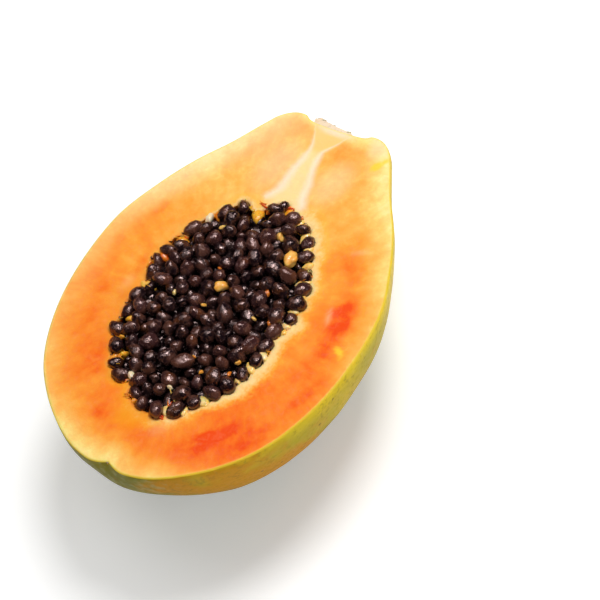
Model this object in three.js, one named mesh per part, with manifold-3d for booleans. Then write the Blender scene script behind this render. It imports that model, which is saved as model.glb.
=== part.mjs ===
// Half of a ripe papaya, cut lengthwise and lying on its rounded back with the cut face up.
//
// Two bodies: the half fruit, which is skin, flesh and the dry scar of the stem grown as one piece with a
// seed cavity sunk in its cut face, and the cluster of seeds that fills the cavity and stands a little out
// of it.
//
// Everything is modelled in the fruit's own frame, in millimetres: X runs along the fruit to the stem end,
// Z = 0 is the cut face and the rounded back is below it. One group then lays the half down, where it
// balances by itself on a small flat spot at Z = 0 of the part's frame.
import * as THREE from "three";
import { mergeVertices } from "three/addons/utils/BufferGeometryUtils.js";
import Module from "manifold-3d";

// Size of the fruit.
const halfLength = 90;
const halfWidth = 64;
const backDepth = 67; // from the cut face down to the back, a little past the middle of the fruit

// Outline of the fruit from the dimple at the blossom end to the scar at the stem end, as shares of half
// the length along the fruit and of half the width across it.
const outlineShares = [
  [-0.978, 0.0],
  [-0.994, 0.062],
  [-0.999, 0.14],
  [-0.972, 0.285],
  [-0.91, 0.442],
  [-0.811, 0.616],
  [-0.682, 0.773],
  [-0.516, 0.89],
  [-0.311, 0.97],
  [-0.078, 1.0],
  [0.156, 0.977],
  [0.367, 0.877],
  [0.556, 0.752],
  [0.722, 0.603],
  [0.867, 0.49],
  [0.95, 0.42],
  [0.996, 0.338],
  [1.004, 0.255],
  [0.981, 0.187],
  [0.974, 0.0],
];
const profileSteps = 38;
const stepsAround = 48;

// Five faint lobes, one for each carpel, which swell towards the shoulders round the stem and the blossom
// end.
const lobeCount = 5;
const lobePhase = Math.PI / 2; // keeps the two sides of the cut face alike
const lobeHeight = 0.007; // share of the radius, along the middle
const endLobeHeight = 0.045; // and at both ends

// Dry scar where the stem broke off: a low, slightly dished disc between the shoulders.
const scarRadius = 10.4;
const scarRise = 1.9;
const scarSlant = THREE.MathUtils.degToRad(5);
const scarSides = 22;

// Seed cavity: an oval bowl, and the oval's rim in the cut face.
const cavityCentre = new THREE.Vector2(-9.5, 1.5);
const cavityHalfLength = 53.5;
const cavityHalfWidth = 34;
const cavityDepth = 37;
const bowlOverhang = 7; // how much wider than the rim the bowl is, so that the walls start out steep
const rimSteps = 260;
const rimClearance = 0.45; // between the flesh and each seed pressed into it

// Tabs of flesh that reach in over the cavity between the seeds: direction from its centre, reach and half
// width.
const fleshTabs = [
  { turn: 9, reach: 6.5, spread: 4 },
  { turn: 97, reach: 3.5, spread: 5 },
  { turn: 168, reach: 6, spread: 5 },
  { turn: 262, reach: 3, spread: 4 },
];

// Seeds, each a blunt egg. A ragged row lies along the rim, and the rest are crowded in between until they
// push each other up and down.
const seedCount = 165;
const seedLength = 6.9;
const seedLengthSpread = 1.0;
const seedWidthShare = 0.84;
const seedFullness = 1.08; // makes up for the flats of so few sides
const seedSides = 6;
const seedRings = 3;
const rimSeedPitch = 6.4;
const rimSeedInset = 2.1;
const rimSeedScatter = 1.3;
const seedTries = 30; // places drawn for each seed, of which it takes the emptiest
const crowdRounds = 30;
const crowdShare = 1; // two seeds come no closer than this share of their mean length and width
const heapRise = 1.6; // the seeds stand this much higher in the middle than at the rim
const highestSeed = 1.1; // above the heap's level
const lowestSeed = -2.4;
const seedHeightScatter = 0.9;
const clusterGap = 0.45; // left between the cluster and the bowl of the cavity
const coreSteps = 90;
const coreInset = 1.2; // from the rim's oval to the core that the seeds are sunk in
const coreDrop = 2.4; // from the heap's level to the top of that core
const seedRoot = 1.3; // how far below the top of the core each seed reaches

// How the half lies: nose-down tilt, height of the cut face's middle, and shift that centres it over the
// origin.
const restTilt = THREE.MathUtils.degToRad(1.5);
const restHeight = 66.4;
const restShift = -0.11;
const farBeyond = 400; // size of the blocks that cut away what lies past a plane

const wasm = await Module();
wasm.setup();

// A repeatable draw from 0 to 1.
let drawState = 4231;
function draw() {
  drawState = (drawState * 16807) % 2147483647;
  return drawState / 2147483647;
}

// A closed geometry as a manifold solid, its seams merged and the slivers at its poles left out.
function solidOf(geometry) {
  const bare = geometry.clone();
  for (const name of Object.keys(bare.attributes)) {
    if (name !== "position") bare.deleteAttribute(name);
  }
  const merged = mergeVertices(bare, 1e-4);
  const index = merged.index.array;
  const corners = [];
  for (let i = 0; i < index.length; i += 3) {
    const [a, b, c] = [index[i], index[i + 1], index[i + 2]];
    if (a !== b && b !== c && c !== a) corners.push(a, b, c);
  }
  return new wasm.Manifold(
    new wasm.Mesh({
      numProp: 3,
      vertProperties: new Float32Array(merged.attributes.position.array),
      triVerts: new Uint32Array(corners),
    }),
  );
}

// A manifold solid as a geometry that a mesh can hold.
function geometryOf(solid) {
  const mesh = solid.getMesh();
  const geometry = new THREE.BufferGeometry();
  geometry.setAttribute("position", new THREE.BufferAttribute(new Float32Array(mesh.vertProperties), 3));
  geometry.setIndex(new THREE.BufferAttribute(new Uint32Array(mesh.triVerts), 1));
  geometry.computeVertexNormals();
  return geometry;
}

// A block whose lower face is at the given height.
function blockAbove(height) {
  return new THREE.BoxGeometry(farBeyond, farBeyond, farBeyond).translate(0, 0, height + farBeyond / 2);
}

// How far the lobes push the skin out, as a share of the radius, at one place along and around the fruit.
function lobeShare(x, angle) {
  const alongShare = Math.min(1, Math.abs(x) / halfLength);
  const height = lobeHeight + (endLobeHeight - lobeHeight) * alongShare ** 6;
  return 1 + height * Math.cos(lobeCount * angle + lobePhase);
}

// The whole fruit: its outline turned about its length, with the lobes raised from it.
function wholeFruit() {
  const stations = outlineShares.map(([along, across]) => {
    return new THREE.Vector2(across * halfWidth, along * halfLength);
  });
  const profile = new THREE.SplineCurve(stations).getPoints(profileSteps);
  profile[0].x = 0;
  profile[profileSteps].x = 0;
  const geometry = new THREE.LatheGeometry(profile, stepsAround);
  geometry.rotateZ(-Math.PI / 2);
  const place = geometry.attributes.position;
  for (let i = 0; i < place.count; i += 1) {
    const x = place.getX(i);
    const lobe = lobeShare(x, Math.atan2(place.getZ(i), place.getY(i)));
    place.setXYZ(i, x, place.getY(i) * lobe, place.getZ(i) * lobe * (backDepth / halfWidth));
  }
  return geometry;
}

// The stem's scar, dished in the middle and set a little askew.
function stemScar() {
  const seat = halfLength * outlineShares.at(-1)[0];
  const profile = [
    new THREE.Vector2(0, -3),
    new THREE.Vector2(scarRadius * 0.86, -3),
    new THREE.Vector2(scarRadius, scarRise * 0.35),
    new THREE.Vector2(scarRadius * 0.8, scarRise),
    new THREE.Vector2(scarRadius * 0.45, scarRise * 0.55),
    new THREE.Vector2(0, scarRise * 0.7),
  ];
  const geometry = new THREE.LatheGeometry(profile, scarSides);
  geometry.rotateZ(-Math.PI / 2);
  geometry.rotateZ(scarSlant);
  return geometry.translate(seat, 0, 0);
}

// Distance from the cavity's centre to its oval rim in one direction, before any seed presses into it.
function ovalReach(turn) {
  const [a, b] = [cavityHalfLength, cavityHalfWidth];
  let reach = (a * b) / Math.hypot(b * Math.cos(turn), a * Math.sin(turn));
  for (const tab of fleshTabs) {
    const tabTurn = THREE.MathUtils.degToRad(tab.turn);
    const off = reach * Math.atan2(Math.sin(turn - tabTurn), Math.cos(turn - tabTurn));
    reach -= tab.reach * Math.exp(-((off / tab.spread) ** 2));
  }
  return reach;
}

// The level of the heap at one place: highest in the middle.
function heapLevel(x, y) {
  const along = (x - cavityCentre.x) / cavityHalfLength;
  const across = (y - cavityCentre.y) / cavityHalfWidth;
  return heapRise * (1 - along * along - across * across);
}

// One seed of the layout: place, size and turns. A seed of the rim's row stays where it is put.
function newSeed(x, y, fixed) {
  const length = seedLength + seedLengthSpread * (2 * draw() - 1);
  const z = heapLevel(x, y) + seedHeightScatter * (2 * draw() - 1);
  return { x, y, z, fixed, length, spin: Math.PI * draw(), nod: 0.7 * (draw() - 0.5) };
}

// Squared distance in plan from a place to the nearest seed.
function clearance(seeds, x, y) {
  let nearest = Infinity;
  for (const seed of seeds) nearest = Math.min(nearest, (seed.x - x) ** 2 + (seed.y - y) ** 2);
  return nearest;
}

// Pushes each two seeds that lie too close apart, along the line between them.
function pushApart(seeds) {
  for (let i = 0; i < seeds.length; i += 1) {
    for (let j = 0; j < i; j += 1) {
      const [a, b] = [seeds[i], seeds[j]];
      const [dx, dy, dz] = [a.x - b.x, a.y - b.y, a.z - b.z];
      const apart = Math.sqrt(dx * dx + dy * dy + dz * dz);
      const wanted = (crowdShare * (a.length + b.length) * (1 + seedWidthShare)) / 4;
      if (apart >= wanted) continue;
      const share = (wanted - apart) / apart;
      const aShare = a.fixed ? 0 : share / (b.fixed ? 1 : 2);
      const bShare = b.fixed ? 0 : share / (a.fixed ? 1 : 2);
      a.x += dx * aShare;
      a.y += dy * aShare;
      a.z += dz * aShare;
      b.x -= dx * bShare;
      b.y -= dy * bShare;
      b.z -= dz * bShare;
    }
  }
}

// Keeps each seed inside the rim and near the heap's level.
function keepIn(seeds) {
  for (const seed of seeds) {
    const turn = Math.atan2(seed.y - cavityCentre.y, seed.x - cavityCentre.x);
    const outBy = Math.sqrt((seed.x - cavityCentre.x) ** 2 + (seed.y - cavityCentre.y) ** 2);
    const share = Math.min(1, (ovalReach(turn) - rimSeedInset) / outBy);
    if (!seed.fixed) {
      seed.x = cavityCentre.x + (seed.x - cavityCentre.x) * share;
      seed.y = cavityCentre.y + (seed.y - cavityCentre.y) * share;
    }
    const level = heapLevel(seed.x, seed.y);
    seed.z = Math.min(level + highestSeed, Math.max(level + lowestSeed, seed.z));
  }
}

// The top layer of seeds: the row along the rim, then the rest, each in the emptiest of a few places,
// crowded.
function layOutSeeds() {
  const seeds = [];
  let turn = 0;
  while (turn < 2 * Math.PI) {
    const reach = ovalReach(turn) - rimSeedInset + rimSeedScatter * (2 * draw() - 1);
    const [x, y] = [cavityCentre.x + reach * Math.cos(turn), cavityCentre.y + reach * Math.sin(turn)];
    seeds.push(newSeed(x, y, true));
    turn += (rimSeedPitch * (0.9 + 0.3 * draw())) / reach;
  }
  while (seeds.length < seedCount) {
    let best = { room: -1 };
    for (let i = 0; i < seedTries; i += 1) {
      const direction = 2 * Math.PI * draw();
      const reach = (ovalReach(direction) - rimSeedInset) * Math.sqrt(draw());
      const x = cavityCentre.x + reach * Math.cos(direction);
      const y = cavityCentre.y + reach * Math.sin(direction);
      const room = clearance(seeds, x, y);
      if (room > best.room) best = { x, y, room };
    }
    seeds.push(newSeed(best.x, best.y, false));
  }
  for (let i = 0; i < crowdRounds; i += 1) {
    pushApart(seeds);
    keepIn(seeds);
  }
  return seeds;
}

// How far a seed reaches in plan from the cavity's centre along one direction, or 0 where the ray misses
// it.
function seedReach(seed, turn) {
  const along = seed.length / 2 + rimClearance;
  const across = (seed.length * seedWidthShare) / 2 + rimClearance;
  const local = (x, y) => [
    (x * Math.cos(seed.spin) + y * Math.sin(seed.spin)) / along,
    (-x * Math.sin(seed.spin) + y * Math.cos(seed.spin)) / across,
  ];
  const [cx, cy] = local(cavityCentre.x - seed.x, cavityCentre.y - seed.y);
  const [dx, dy] = local(Math.cos(turn), Math.sin(turn));
  const a = dx * dx + dy * dy;
  const b = cx * dx + cy * dy;
  const inRoot = b * b - a * (cx * cx + cy * cy - 1);
  return inRoot < 0 ? 0 : (-b + Math.sqrt(inRoot)) / a;
}

// The rim of the cavity in the cut face: the oval, scalloped where seeds press into the flesh.
function rimPoints(seeds) {
  const reaches = [];
  for (let i = 0; i < rimSteps; i += 1) {
    const turn = (2 * Math.PI * i) / rimSteps;
    reaches.push(Math.max(ovalReach(turn), ...seeds.map((seed) => seedReach(seed, turn))));
  }
  return reaches.map((reach, i) => {
    const turn = (2 * Math.PI * i) / rimSteps;
    // The furthest of three neighbours keeps the chords between the points clear of the seeds.
    const cut = Math.max(reach, reaches.at(i - 1), reaches[(i + 1) % rimSteps]);
    return new THREE.Vector2(cavityCentre.x + cut * Math.cos(turn), cavityCentre.y + cut * Math.sin(turn));
  });
}

// An upright wall of the given outline, from below the cavity's floor to well above the cut face.
function uprightWall(points) {
  const outline = new THREE.Shape(points);
  const wall = new THREE.ExtrudeGeometry(outline, { depth: 2 * cavityDepth, bevelEnabled: false });
  return wall.translate(0, 0, -1.5 * cavityDepth);
}

// An egg-shaped bowl under the rim, with a low dome over it.
function bowl(inset, domeRise) {
  const geometry = new THREE.SphereGeometry(1, 36, 22);
  geometry.rotateX(Math.PI / 2);
  const place = geometry.attributes.position;
  const reach = bowlOverhang - inset;
  for (let i = 0; i < place.count; i += 1) {
    const z = place.getZ(i);
    place.setXYZ(
      i,
      cavityCentre.x + place.getX(i) * (cavityHalfLength + reach),
      cavityCentre.y + place.getY(i) * (cavityHalfWidth + reach),
      z * (z < 0 ? cavityDepth - inset : domeRise),
    );
  }
  return geometry;
}

// One seed, a few-sided egg, turned and set in its place, with its underside drawn down into the core.
function seedGeometry(seed) {
  const geometry = new THREE.SphereGeometry(seed.length / 2, seedSides, seedRings);
  geometry.scale(seedWidthShare * seedFullness, 1, seedWidthShare * seedFullness);
  geometry.rotateZ(-Math.PI / 2);
  geometry.rotateY(seed.nod);
  geometry.rotateZ(seed.spin);
  geometry.computeBoundingBox();
  const rootDepth = seed.z - heapLevel(seed.x, seed.y) + coreDrop + seedRoot;
  const drawDown = Math.max(1, rootDepth / -geometry.boundingBox.min.z);
  const place = geometry.attributes.position;
  for (let i = 0; i < place.count; i += 1) {
    if (place.getZ(i) < 0) place.setZ(i, place.getZ(i) * drawDown);
  }
  return geometry.translate(seed.x, seed.y, seed.z);
}

// The half fruit: cut through its length, hollowed for the seeds, with the scar of the stem on its end.
function halfFruit(rim, floorBlock) {
  const hollow = solidOf(bowl(0, 2 * heapRise)).intersect(solidOf(uprightWall(rim)));
  const whole = solidOf(wholeFruit()).add(solidOf(stemScar()));
  return whole.subtract(solidOf(blockAbove(0))).subtract(hollow).subtract(floorBlock);
}

// The seeds, sunk into a core of seeds and pulp that fills the cavity below them.
function seedCluster(seeds) {
  const coreOutline = [];
  for (let i = 0; i < coreSteps; i += 1) {
    const turn = (2 * Math.PI * i) / coreSteps;
    const reach = ovalReach(turn) - coreInset;
    coreOutline.push(
      new THREE.Vector2(cavityCentre.x + reach * Math.cos(turn), cavityCentre.y + reach * Math.sin(turn)),
    );
  }
  const coreBowl = bowl(clusterGap + coreDrop, heapRise).translate(0, 0, -coreDrop);
  let cluster = solidOf(coreBowl).intersect(solidOf(uprightWall(coreOutline)));
  for (const seed of seeds) cluster = cluster.add(solidOf(seedGeometry(seed)));
  return cluster;
}

const flesh = new THREE.MeshStandardMaterial({ color: "#f79a3e", roughness: 0.45, metalness: 0 });
const seedCoat = new THREE.MeshStandardMaterial({ color: "#2a1a16", roughness: 0.25, metalness: 0 });

const half = new THREE.Group();
half.rotation.y = restTilt;
half.position.set(restShift, 0, restHeight);
half.updateMatrix();

const floorBlock = new THREE.BoxGeometry(farBeyond, farBeyond, farBeyond).translate(0, 0, -farBeyond / 2);
floorBlock.applyMatrix4(half.matrix.clone().invert());

const seeds = layOutSeeds();
const rim = rimPoints(seeds);

const papayaHalf = new THREE.Mesh(geometryOf(halfFruit(rim, solidOf(floorBlock))), flesh);
papayaHalf.name = "papaya_half";
half.add(papayaHalf);

const seedMesh = new THREE.Mesh(geometryOf(seedCluster(seeds)), seedCoat);
seedMesh.name = "seed_cluster";
half.add(seedMesh);

const papaya = new THREE.Group();
papaya.add(half);

export default papaya;
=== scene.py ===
import bmesh
import bpy
import numpy as np
from math import atan2, cos, degrees, exp, hypot, pi, radians, sin, sqrt
from mathutils import Matrix, Quaternion, Vector, noise


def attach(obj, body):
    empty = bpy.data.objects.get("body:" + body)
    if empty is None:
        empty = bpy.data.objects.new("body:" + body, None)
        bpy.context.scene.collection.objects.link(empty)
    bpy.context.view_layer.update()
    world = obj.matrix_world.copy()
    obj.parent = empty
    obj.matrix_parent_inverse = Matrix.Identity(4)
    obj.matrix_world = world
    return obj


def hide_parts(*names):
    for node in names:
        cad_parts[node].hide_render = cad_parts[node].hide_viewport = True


# Papaya half, cut face up: the fruit with skin, flesh and seed hollow, then the seeds, then the small bits.
# All is worked out in the fruit's own millimetres (X to the stem, Z = 0 on the cut face) and laid down last.

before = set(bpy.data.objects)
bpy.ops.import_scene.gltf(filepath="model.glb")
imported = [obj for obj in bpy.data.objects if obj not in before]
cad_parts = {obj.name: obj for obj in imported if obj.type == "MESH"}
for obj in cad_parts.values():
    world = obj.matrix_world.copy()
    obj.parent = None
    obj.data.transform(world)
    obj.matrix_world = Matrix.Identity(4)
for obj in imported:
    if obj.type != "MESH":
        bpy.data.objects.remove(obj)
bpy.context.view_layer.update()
bpy.ops.object.select_all(action="DESELECT")

mm = 0.001
lie = {"tilt": 1.5, "height": 66.4, "shift": -0.11}  # how the half lies on the floor
layDown = Matrix.Translation((lie["shift"] * mm, 0, lie["height"] * mm)) @ Matrix.Rotation(
    radians(lie["tilt"]), 4, "Y"
)

# camera, in degrees and the fruit's millimetres
camera = {
    "target": (6.3, -29.9, 0.0),
    "azimuth": -45.0,
    "elevation": 54.8,
    "distance": 710.5,
    "roll": -18.0,
    "lens": 108.6,
}


def addCamera():
    target = layDown @ (Vector(camera["target"]) * mm)
    azimuth, elevation = radians(camera["azimuth"]), radians(camera["elevation"])
    back = Vector(
        (sin(azimuth) * cos(elevation), -cos(azimuth) * cos(elevation), sin(elevation))
    )
    bpy.ops.object.camera_add(location=target + back * camera["distance"] * mm)
    eye = bpy.context.object
    turn = Quaternion((0, 0, 1), radians(camera["roll"]))
    eye.rotation_mode = "QUATERNION"
    eye.rotation_quaternion = (-back).to_track_quat("-Z", "Y") @ turn
    eye.data.lens = camera["lens"]
    bpy.context.scene.camera = eye


addCamera()
print("camera placed")

# chance, the same on each run
drawState = {"now": 4231}


def draw():  # 0 to 1
    drawState["now"] = drawState["now"] * 16807 % 2147483647
    return drawState["now"] / 2147483647


def vary(least, spread):
    return least + spread * draw()


def sway(width):  # to either side of nothing
    return width * (draw() - 0.5)


def anyTurn():
    return 6.28 * draw()


# what several nodes are set to
multiply = {"operation": "MULTIPLY"}
multiplyAdd = {"operation": "MULTIPLY_ADD"}
add = {"operation": "ADD"}
subtract = {"operation": "SUBTRACT"}
easeInOut = {"interpolation_type": "SMOOTHSTEP"}


def hexColour(code):  # sRGB hex to the linear colour a socket wants
    parts = [int(code[i : i + 2], 16) / 255 for i in (1, 3, 5)]
    return tuple(c / 12.92 if c <= 0.04045 else ((c + 0.055) / 1.055) ** 2.4 for c in parts) + (1.0,)


def plug(socket, source):  # links a node or one of its outputs, and sets a plain value
    if isinstance(source, bpy.types.Node):
        source = next(s for s in source.outputs if s.enabled)
    if isinstance(source, bpy.types.NodeSocket):
        socket.id_data.links.new(source, socket)
    else:
        socket.default_value = source


def addNode(tree, kind, settings=None, links=None):
    made = tree.nodes.new("ShaderNode" + kind)
    for name, value in (settings or {}).items():
        if name == "stops":  # colour ramp stops, (position, hex)
            ramp = made.color_ramp.elements
            while len(ramp) < len(value):
                ramp.new(1.0)
            for stop, (place, code) in zip(ramp, value):
                stop.position, stop.color = place, hexColour(code)
        else:
            setattr(made, name, value)
    for name, source in (links or {}).items():
        socket = made.inputs[name] if isinstance(name, int) else next(
            s for s in made.inputs if s.enabled and s.name == name
        )
        plug(socket, source)
    return made


def layColours(tree, base, sources, layers):  # each layer: what drives it, from, to, strength, colour
    colour = base
    for source, start, full, amount, code in layers:
        share = addNode(
            tree,
            "MapRange",
            easeInOut,
            {"Value": sources[source], "From Min": start, "From Max": full, "To Max": amount},
        )
        colour = addNode(
            tree, "Mix", {"data_type": "RGBA"}, {"Factor": share, "A": colour, "B": hexColour(code)}
        )
    return colour


def newMaterial(name, painted=(), patterns=()):  # with what drives it: numbers painted on the mesh, and noise
    made = bpy.data.materials.new(name)
    made.use_nodes = True
    tree = made.node_tree
    tree.nodes.clear()
    shader = addNode(tree, "BsdfPrincipled")
    addNode(tree, "OutputMaterial", links={"Surface": shader.outputs["BSDF"]})
    value = {}
    for source in painted:
        value[source] = addNode(tree, "Attribute", {"attribute_name": source}).outputs["Fac"]
    if patterns:
        value["place"] = addNode(tree, "TexCoord").outputs["Object"]
    for source, size, detail, twist in patterns:  # size in millimetres
        links = {"Vector": value["place"], "Scale": 1 / (size * mm), "Detail": detail, "Distortion": twist}
        value[source] = addNode(tree, "TexNoise", links=links)
    return made, tree, shader, value


def setShader(shader, values):  # patterns are linked, and what is the same all over is set
    for name, value in values.items():
        plug(shader.inputs[name], value)


def coatWith(piece, material):
    piece.data.materials.clear()
    piece.data.materials.append(material)


def paint(piece, name, values):  # one number per vertex, kept on the mesh
    layer = piece.data.attributes.new(name, "FLOAT", "POINT")
    layer.data.foreach_set("value", np.asarray(values, dtype=np.float32))


def meshPoints(piece):  # vertex places in the fruit's millimetres
    points = np.empty(len(piece.data.vertices) * 3)
    piece.data.vertices.foreach_get("co", points)
    return points.reshape(-1, 3) / mm


def editAll():  # into edit mode with everything selected
    bpy.ops.object.mode_set(mode="EDIT")
    bpy.ops.mesh.select_all(action="SELECT")


def endEdit():
    bpy.ops.object.mode_set(mode="OBJECT")
    bpy.ops.object.shade_smooth()


def moveSelected(piece, rule):
    shape = bmesh.from_edit_mesh(piece.data)
    for vertex in shape.verts:
        if vertex.select:
            vertex.co = rule(vertex.co)
    bmesh.update_edit_mesh(piece.data)


def joinAll(pieces):
    bpy.ops.object.select_all(action="DESELECT")
    for piece in pieces:
        piece.select_set(True)
    bpy.context.view_layer.objects.active = pieces[0]
    bpy.ops.object.join()
    return bpy.context.object


def finishPiece(piece, name, slot, *replaced):
    piece.data.transform(layDown)
    for vertex in piece.data.vertices:
        vertex.co.z = max(vertex.co.z, 0.0)  # the flat spot it rests on
    piece.name = piece.data.name = name
    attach(piece, "root")
    if replaced:
        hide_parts(*replaced)
    bpy.ops.object.select_all(action="DESELECT")
    print("made", name, len(piece.data.polygons), "faces")


# shape of the fruit, its hollow and the lie of its seeds
fruit = {
    "halfLength": 90.0,
    "halfWidth": 64.0,
    "backDepth": 67.0,
    # outline from blossom end to stem: share of half length, share of half width
    "outline": [
        (-0.978, 0.0), (-0.994, 0.062), (-0.999, 0.14), (-0.972, 0.285), (-0.91, 0.442),
        (-0.811, 0.616), (-0.682, 0.773), (-0.516, 0.89), (-0.311, 0.97), (-0.078, 1.0),
        (0.156, 0.977), (0.367, 0.877), (0.556, 0.752), (0.722, 0.603), (0.867, 0.49),
        (0.95, 0.42), (0.996, 0.338), (1.004, 0.255), (0.981, 0.187), (0.974, 0.0),
    ],
    "profileSteps": 280,
    "stepsAround": 36,
    "lobes": 5,
    "lobeHeight": 0.007,
    "endLobeHeight": 0.045,
    "edgeRound": 0.4,  # the cut edge isn't razor sharp
    "dent": 0.5,  # shallow dents in the skin, how deep, how wide and how soon below the cut
    "dentSize": 13.0,
    "dentFrom": 9.0,
    "faceRings": 24,
    "evenRings": 0.65,  # share of even spacing, the rest is closer at both edges
    "lipDrop": 0.5,  # the flesh rounds over into the hollow
    "lipWidth": 0.6,
    "waves": [(0.16, 9.0, 0), (0.08, 2.5, 7)],  # unevenness of the cut: height, size, part of the noise
    "wallDepths": (0.5, 1.6, 3.5, 6.5, 10, 15, 20, 26, 31, 35),
}

hollow = {
    "centre": (-9.5, 1.5),
    "halfLength": 53.5,
    "halfWidth": 34.0,
    "depth": 37.0,
    "overhang": 7.0,
    "clearance": 0.05,
    # flesh reaching in between the seeds: direction, reach, half width
    "tabs": [(9, 6.5, 4), (97, 3.5, 5), (168, 6, 5), (262, 3, 4)],
}

seeds = {
    "count": 204,  # in the top layer
    "length": 6.9,
    "lengthSpread": 1.0,
    "widthShare": 0.84,
    "nod": 0.7,
    "rimPitch": 6.4,
    "rimPitchShare": (0.9, 0.3),
    "rimInset": 2.1,
    "rimScatter": 1.3,
    "tries": 30,
    "heapRise": 1.6,
    "heightScatter": 0.9,
    # share of their size that they keep apart, lowest and highest; then again at their final sizes
    "packed": (0.9, -3.0, 1.1),
    "settled": (0.97, -5.6, 2.2),
    "crowdRounds": 40,
    "crowdStep": 0.7,
    "deepPitch": 5.4,
    "deepLevel": -5.2,
}
centreX, centreY = hollow["centre"]


def outlinePoints(steps):
    stations = [(a * fruit["halfLength"], b * fruit["halfWidth"]) for a, b in fruit["outline"]]
    last = len(stations) - 1
    points = []
    for i in range(steps + 1):
        at = last * i / steps
        k = min(int(at), last - 1) if i < steps else last
        t = at - k
        p0, p1 = stations[max(k - 1, 0)], stations[k]
        p2, p3 = stations[min(k + 1, last)], stations[min(k + 2, last)]
        point = []
        for a, b, c, d in zip(p0, p1, p2, p3):
            v0, v1 = (c - a) / 2, (d - b) / 2
            cube, square = 2 * b - 2 * c + v0 + v1, -3 * b + 3 * c - 2 * v0 - v1
            point.append(cube * t**3 + square * t**2 + v0 * t + b)
        points.append(tuple(point))
    points[0], points[-1] = (points[0][0], 0.0), (points[-1][0], 0.0)
    return points


def lobeShare(x, angle):
    along = min(1.0, abs(x) / fruit["halfLength"])
    height = fruit["lobeHeight"] + (fruit["endLobeHeight"] - fruit["lobeHeight"]) * along**6
    return 1 + height * cos(fruit["lobes"] * angle + pi / 2)


def placeAt(turn, reach):  # in plan, round the middle of the hollow
    return centreX + reach * cos(turn), centreY + reach * sin(turn)


def turnReach(x, y):
    return atan2(y - centreY, x - centreX), hypot(x - centreX, y - centreY)


def ovalReach(turn):
    a, b = hollow["halfLength"], hollow["halfWidth"]
    reach = a * b / sqrt((b * cos(turn)) ** 2 + (a * sin(turn)) ** 2)
    for direction, tabReach, spread in hollow["tabs"]:
        off = turn - radians(direction)
        across = reach * atan2(sin(off), cos(off))
        reach -= tabReach * exp(-((across / spread) ** 2))
    return reach


def heapLevel(x, y):
    along, across = (x - centreX) / hollow["halfLength"], (y - centreY) / hollow["halfWidth"]
    return seeds["heapRise"] * (1 - along * along - across * across)


def newSeed(x, y, fixed):
    length = seeds["length"] + seeds["lengthSpread"] * (2 * draw() - 1)
    z = heapLevel(x, y) + seeds["heightScatter"] * (2 * draw() - 1)
    spin = pi * draw()
    return {"at": [x, y, z], "fixed": fixed, "length": length, "spin": spin, "nod": sway(seeds["nod"])}


def layOutSeeds():
    laid = []
    turn = 0.0
    while turn < 2 * pi:
        reach = ovalReach(turn) - seeds["rimInset"] + seeds["rimScatter"] * (2 * draw() - 1)
        laid.append(newSeed(*placeAt(turn, reach), True))
        turn += seeds["rimPitch"] * vary(*seeds["rimPitchShare"]) / reach
    while len(laid) < seeds["count"]:
        best = (-1.0, 0.0, 0.0)
        for i in range(seeds["tries"]):
            direction = 2 * pi * draw()
            reach = (ovalReach(direction) - seeds["rimInset"]) * sqrt(draw())
            x, y = placeAt(direction, reach)
            room = min((s["at"][0] - x) ** 2 + (s["at"][1] - y) ** 2 for s in laid)
            if room > best[0]:
                best = (room, x, y)
        laid.append(newSeed(best[1], best[2], False))
    crowd(laid, *seeds["packed"])
    return laid


def crowd(laid, share, lowest, highest):
    # push neighbours apart, up and down too, and keep them inside the rim
    at = np.array([s["at"] for s in laid])
    loose = np.array([0.0 if s["fixed"] else 1.0 for s in laid])
    size = np.array([s["length"] for s in laid])
    wanted = share * (size[:, None] + size[None, :]) * (1 + seeds["widthShare"]) / 4
    for i in range(seeds["crowdRounds"]):
        gap = at[:, None, :] - at[None, :, :]
        apart = np.sqrt((gap**2).sum(2)) + np.eye(len(laid)) * 1e3
        short = np.clip(wanted - apart, 0, None) / apart
        yields = loose[:, None] / np.maximum(loose[:, None] + loose[None, :], 1)
        at += (gap * (short * yields)[:, :, None]).sum(1) * seeds["crowdStep"]
        for k, seed in enumerate(laid):
            x, y, z = at[k]
            turn, reach = turnReach(x, y)
            if not seed["fixed"]:
                pull = min(1.0, (ovalReach(turn) - seeds["rimInset"]) / reach)
                x, y = centreX + (x - centreX) * pull, centreY + (y - centreY) * pull
            level = heapLevel(x, y)
            at[k] = x, y, min(level + highest, max(level + lowest, z))
    for seed, place in zip(laid, at):
        seed["at"] = [float(v) for v in place]


def seedReach(seed, turn):  # how far the seed reaches in plan along one direction
    along = seed["length"] / 2 + hollow["clearance"]
    across = seed["length"] * seeds["widthShare"] / 2 + hollow["clearance"]
    c, s = cos(seed["spin"]), sin(seed["spin"])
    local = lambda x, y: ((x * c + y * s) / along, (-x * s + y * c) / across)
    cx, cy = local(centreX - seed["at"][0], centreY - seed["at"][1])
    dx, dy = local(cos(turn), sin(turn))
    a, b = dx * dx + dy * dy, cx * dx + cy * dy
    root = b * b - a * (cx * cx + cy * cy - 1)
    return 0.0 if root < 0 else (-b + sqrt(root)) / a


laidSeeds = layOutSeeds()
rimTurns = np.linspace(-pi, pi, 1441)
rimReaches = np.array([max([ovalReach(t)] + [seedReach(s, t) for s in laidSeeds]) for t in rimTurns])
profile = outlinePoints(fruit["profileSteps"])
cutOutline = np.array(profile + [(x, -y) for x, y in profile[-2:0:-1]])
rimOutline = np.array([centreX + rimReaches * np.cos(rimTurns), centreY + rimReaches * np.sin(rimTurns)]).T
print("laid out", len(laidSeeds), "seeds")


def rimReach(turn):
    turn = atan2(sin(turn), cos(turn))
    return float(np.interp(turn, rimTurns, rimReaches))


def bowlReach(turn, depth):  # the hollow widens a little below the rim, then closes
    a, b = hollow["halfLength"] + hollow["overhang"], hollow["halfWidth"] + hollow["overhang"]
    oval = a * b / hypot(b * cos(turn), a * sin(turn))
    return oval * sqrt(max(0.0, 1 - (depth / hollow["depth"]) ** 2))


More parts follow.
